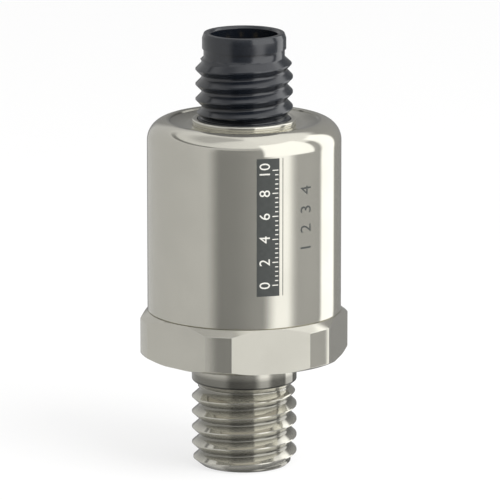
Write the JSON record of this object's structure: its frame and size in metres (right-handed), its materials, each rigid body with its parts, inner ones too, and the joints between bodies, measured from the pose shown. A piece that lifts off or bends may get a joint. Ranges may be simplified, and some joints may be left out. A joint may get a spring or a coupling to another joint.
{
  "type": "pressure transmitter",
  "caption": "Compact pressure transmitter: round steel case on a hexagon with a threaded stud, and a black round threaded plug connector on top.",
  "frame": {"origin": "centre of the hexagon's underside, the face that seals on the process fitting", "axes": "+Z along the axis from the stud to the plug connector; a flat of the hexagon faces -Y"},
  "size_m": [0.026, 0.024, 0.0544],
  "materials": {
    "port_steel": "turned stainless steel, satin to bright",
    "case_steel": "drawn stainless steel, polished",
    "black_plastic": "moulded glass-filled plastic, satin",
    "pin_gilt": "gilt brass, bright",
    "seal_rubber": "moulded rubber, matt",
    "cell_ceramic": "sintered alumina, matt",
    "cell_glass": "glass solder",
    "ring_plastic": "moulded engineering plastic",
    "ring_steel": "turned steel",
    "board_green": "glass laminate with solder mask",
    "chip_black": "moulded chip package",
    "capacitor_tan": "fired ceramic",
    "lead_metal": "tinned copper alloy"
  },
  "bodies": {
    "root": {"pressure_port": "port_steel", "process_seal": "seal_rubber", "case": "case_steel", "connector_body": "black_plastic", "case_seal": "seal_rubber", "cell_seal": "seal_rubber", "cell_diaphragm": "cell_ceramic", "cell_glass_ring": "cell_glass", "cell_body": "cell_ceramic", "support_ring": "ring_plastic", "retaining_ring": "ring_steel", "board_carrier": "ring_plastic", "connector_board": "board_green", "signal_board": "board_green", "signal_chip": "chip_black", "regulator_chip": "chip_black", "contact_pin_1": "pin_gilt", "cell_lead_1": "lead_metal", "resistor_1": "chip_black", "contact_pin_2": "pin_gilt", "cell_lead_2": "lead_metal", "resistor_2": "chip_black", "contact_pin_3": "pin_gilt", "cell_lead_3": "lead_metal", "resistor_3": "chip_black", "contact_pin_4": "pin_gilt", "cell_lead_4": "lead_metal", "resistor_4": "chip_black", "capacitor_1": "capacitor_tan", "capacitor_2": "capacitor_tan", "capacitor_3": "capacitor_tan"}
  },
  "joints": []
}
